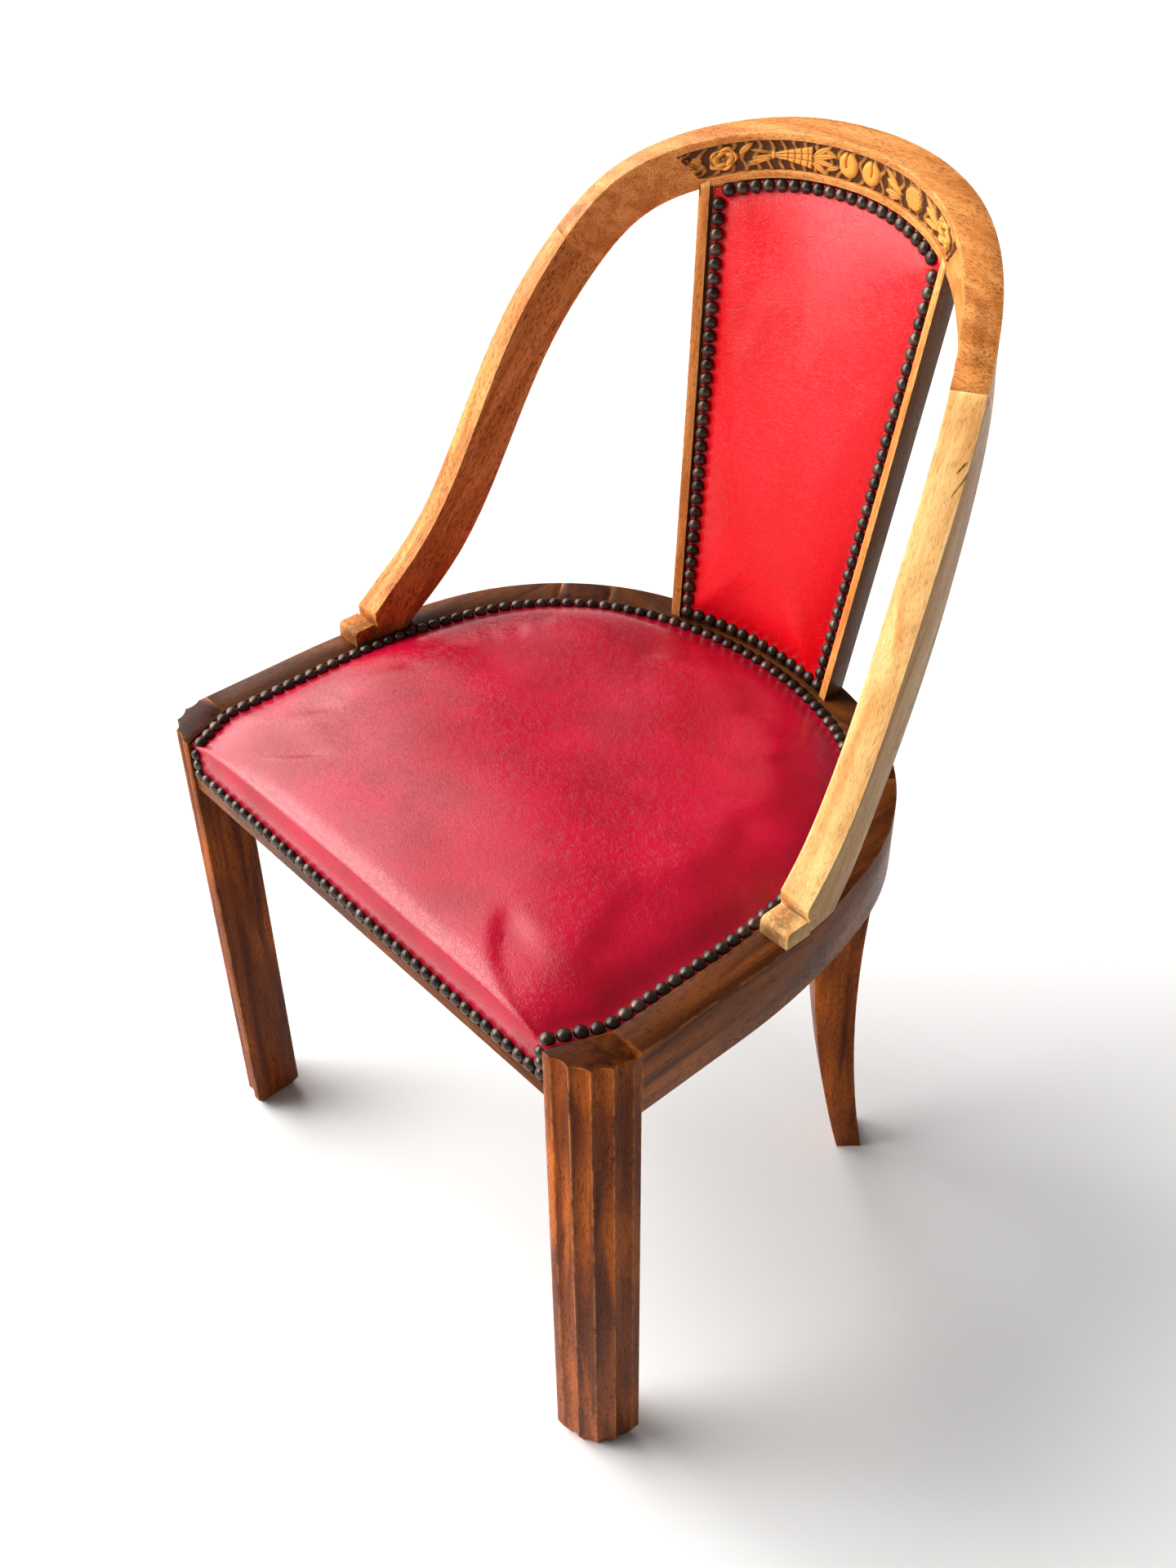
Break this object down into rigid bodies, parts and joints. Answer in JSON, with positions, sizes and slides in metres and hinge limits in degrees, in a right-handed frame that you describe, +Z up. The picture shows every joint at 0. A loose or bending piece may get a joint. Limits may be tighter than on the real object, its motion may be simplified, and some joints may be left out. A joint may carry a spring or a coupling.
{
  "type": "armchair",
  "caption": "Round-backed wooden armchair with sweeping arms, fluted front legs, sabre rear legs and a nailed red leatherette seat and splat.",
  "frame": {"origin": "on the floor, under the middle of the chair's overall width and depth", "axes": "+Z up, -Y the way the sitter faces, +X to the right seen from the front"},
  "size_m": [0.524, 0.518, 0.852],
  "materials": {
    "frame_wood": "satin varnish, red-brown",
    "hoop_wood": "satin varnish, golden brown",
    "leatherette": "satin, fine grain",
    "nail_metal": "dark antique bronze",
    "joinery_wood": "bare",
    "hessian": "coarse plain weave",
    "webbing": "woven tape",
    "stuffing": "fibre",
    "screw_steel": "bright"
  },
  "bodies": {
    "root": {"front_leg_left": "frame_wood", "front_leg_right": "frame_wood", "rear_leg_left": "frame_wood", "rear_leg_right": "frame_wood", "side_rail_left": "frame_wood", "side_rail_right": "frame_wood", "back_rail": "frame_wood", "front_rail": "frame_wood", "arm_left": "hoop_wood", "arm_right": "hoop_wood", "crest_rail": "hoop_wood", "splat_stile_left": "hoop_wood", "splat_stile_right": "hoop_wood", "splat_top_rail": "joinery_wood", "splat_bottom_rail": "joinery_wood", "corner_block_left": "joinery_wood", "corner_block_right": "joinery_wood", "rail_dowels": "joinery_wood", "arm_dowels": "joinery_wood", "crest_dowels": "joinery_wood", "splat_dowels": "joinery_wood", "corner_block_screws": "screw_steel", "seat_cover": "leatherette", "back_cover": "leatherette", "outside_back_cover": "leatherette", "seat_pad": "stuffing", "back_pad": "stuffing", "seat_hessian": "hessian", "back_hessian": "hessian", "seat_webbing": "webbing", "seat_nails": "nail_metal", "front_nails": "nail_metal", "back_nails": "nail_metal", "outside_back_nails": "nail_metal"}
  },
  "joints": []
}
